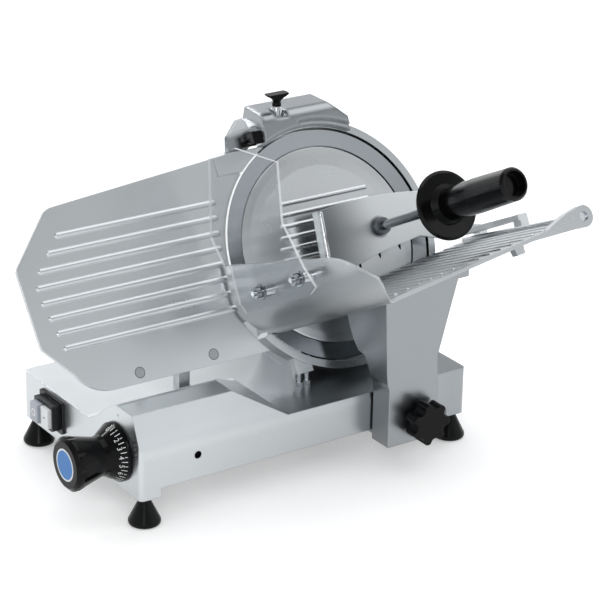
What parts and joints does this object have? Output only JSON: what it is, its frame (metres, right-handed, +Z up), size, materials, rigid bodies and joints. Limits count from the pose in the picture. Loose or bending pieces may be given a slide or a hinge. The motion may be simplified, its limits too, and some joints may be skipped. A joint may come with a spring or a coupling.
{
  "type": "deli_meat_slicer",
  "caption": "Gravity deli slicer with a tilted round blade under a guard ring, ribbed gauge plate and sliding tray, black pusher grip and dial, clear hand shield and rubber feet",
  "frame": {"origin": "centre of the front left foot's ground face, on the worktop", "axes": "+X runs along the carriage from the dial's end to the tray's end, +Y goes from the operator's side to the back, +Z is up"},
  "size_m": [0.622, 0.4488, 0.406],
  "materials": {
    "cast_aluminium": "bead-blasted and anodised casting",
    "plate_aluminium": "brushed and anodised panel",
    "polished_aluminium": "polished casting",
    "blade_steel": "hard-chromed, ground blade steel",
    "bright_steel": "ground and polished rod",
    "zinc_steel": "zinc-plated sheet",
    "bronze": "sintered bearing bronze",
    "black_plastic": "glossy black phenolic",
    "black_switch": "fine-grained black plastic",
    "rubber": "moulded black rubber",
    "white_plastic": "white moulded plastic",
    "grey_plastic": "grey moulded plastic",
    "dial_colour": "plain coloured disc under clear lacquer",
    "clear_sheet": "clear polycarbonate sheet",
    "motor_paint": "dark enamel",
    "belt_rubber": "ribbed drive belt",
    "stone": "vitrified grinding stone"
  },
  "bodies": {
    "stand": {"base_casting": "cast_aluminium", "bottom_plate": "zinc_steel", "rubber_feet": "rubber", "guide_rod": "bright_steel", "roller_rail": "bright_steel", "gauge_guide_rods": "bright_steel", "dial_bush": "bronze", "switch_box": "black_switch", "head_casting": "polished_aluminium", "ring_posts": "bright_steel", "blade_bearings": "bright_steel", "motor_housing": "cast_aluminium", "motor_body": "motor_paint", "drive_belt": "belt_rubber", "slice_deflector": "bright_steel", "blade_cover": "polished_aluminium", "cover_tie_rod": "bright_steel", "sharpener_hood": "polished_aluminium", "sharpener_stones": "stone", "sharpener_ferrule": "bright_steel"},
    "stop_button": {"stop_button": "grey_plastic"},
    "start_button": {"start_button": "white_plastic"},
    "dial": {"dial_knob": "black_plastic", "dial_disc": "dial_colour", "dial_shaft": "bright_steel", "scroll_cam": "zinc_steel"},
    "gauge": {"gauge_plate": "plate_aluminium", "gauge_support": "cast_aluminium", "gauge_slide": "cast_aluminium", "follower_pin": "bright_steel", "gauge_screws": "bright_steel"},
    "blade": {"blade": "blade_steel", "blade_shaft": "bright_steel", "blade_pulley": "zinc_steel", "blade_screws": "bright_steel"},
    "motor_rotor": {"motor_shaft": "bright_steel", "motor_pulley": "zinc_steel"},
    "cover_knob": {"cover_knob": "black_plastic"},
    "sharpener_knob": {"sharpener_knob": "black_plastic"},
    "sharpener_button": {"sharpener_button": "black_plastic"},
    "carriage": {"carriage_truck": "cast_aluminium", "truck_bushes": "bronze", "roller_axle": "bright_steel", "carriage_column": "cast_aluminium", "tray": "polished_aluminium", "hand_shield": "clear_sheet", "shield_studs": "bright_steel", "shield_nuts": "bright_steel", "pusher_rod": "bright_steel"},
    "support_roller": {"support_roller": "white_plastic"},
    "star_knob": {"star_knob": "black_plastic"},
    "pusher_slide": {"pusher_bushes": "white_plastic"},
    "pusher": {"pusher_plate": "polished_aluminium", "pusher_handle": "bright_steel", "pusher_grip": "black_plastic", "pusher_spikes": "bright_steel"}
  },
  "joints": [
    {"name": "carriage_slide", "type": "slide", "parent": "stand", "child": "carriage", "axis": [1, 0, 0], "range_m": [-0.25, 0.035]},
    {"name": "roller_turn", "type": "hinge", "parent": "carriage", "child": "support_roller", "pos_m": [0.337, -0.0035, 0.063], "axis": [0, 1, 0], "continuous": true},
    {"name": "star_knob_turn", "type": "hinge", "parent": "carriage", "child": "star_knob", "pos_m": [0.3475, -0.044, 0.0625], "axis": [0, -1, 0], "continuous": true},
    {"name": "pusher_feed", "type": "slide", "parent": "carriage", "child": "pusher_slide", "axis": [0, -0.8829, 0.4695], "range_m": [0, 0.095]},
    {"name": "pusher_lift", "type": "hinge", "parent": "pusher_slide", "child": "pusher", "pos_m": [0.525, 0.03413, 0.22388], "axis": [0, 0.8829, -0.4695], "range_deg": [0, 105]},
    {"name": "blade_spin", "type": "hinge", "parent": "stand", "child": "blade", "pos_m": [0.32, 0.108, 0.235], "axis": [0, -0.8829, 0.4695], "continuous": true},
    {"name": "motor_spin", "type": "hinge", "parent": "stand", "child": "motor_rotor", "pos_m": [0.366, 0.13187, 0.15209], "axis": [0, -0.8829, 0.4695], "continuous": true},
    {"name": "dial_turn", "type": "hinge", "parent": "stand", "child": "dial", "pos_m": [-0.012, 0.04, 0.075], "axis": [-1, 0, 0], "range_deg": [0, 322]},
    {"name": "gauge_open", "type": "slide", "parent": "stand", "child": "gauge", "axis": [0, 1, 0], "range_m": [0, 0.014]},
    {"name": "cover_knob_turn", "type": "hinge", "parent": "stand", "child": "cover_knob", "pos_m": [0.32, 0.20689, 0.18242], "axis": [0, 0.8829, -0.4695], "continuous": true},
    {"name": "sharpener_knob_turn", "type": "hinge", "parent": "stand", "child": "sharpener_knob", "pos_m": [0.293, 0.18489, 0.38], "axis": [0, 0, 1], "continuous": true},
    {"name": "sharpener_press", "type": "slide", "parent": "stand", "child": "sharpener_button", "axis": [0, 0.8829, -0.4695], "range_m": [0, 0.003], "stiffness_N_per_m": 900},
    {"name": "stop_press", "type": "slide", "parent": "stand", "child": "stop_button", "axis": [1, 0, 0], "range_m": [0, 0.003], "stiffness_N_per_m": 900},
    {"name": "start_press", "type": "slide", "parent": "stand", "child": "start_button", "axis": [1, 0, 0], "range_m": [0, 0.003], "stiffness_N_per_m": 900}
  ],
  "couplings": [
    {"joint": "roller_turn", "follows": "carriage_slide", "rad_per_m": 100},
    {"joint": "gauge_open", "follows": "dial_turn", "m_per_rad": 0.0024911},
    {"joint": "motor_spin", "follows": "blade_spin", "ratio": 2.625}
  ]
}
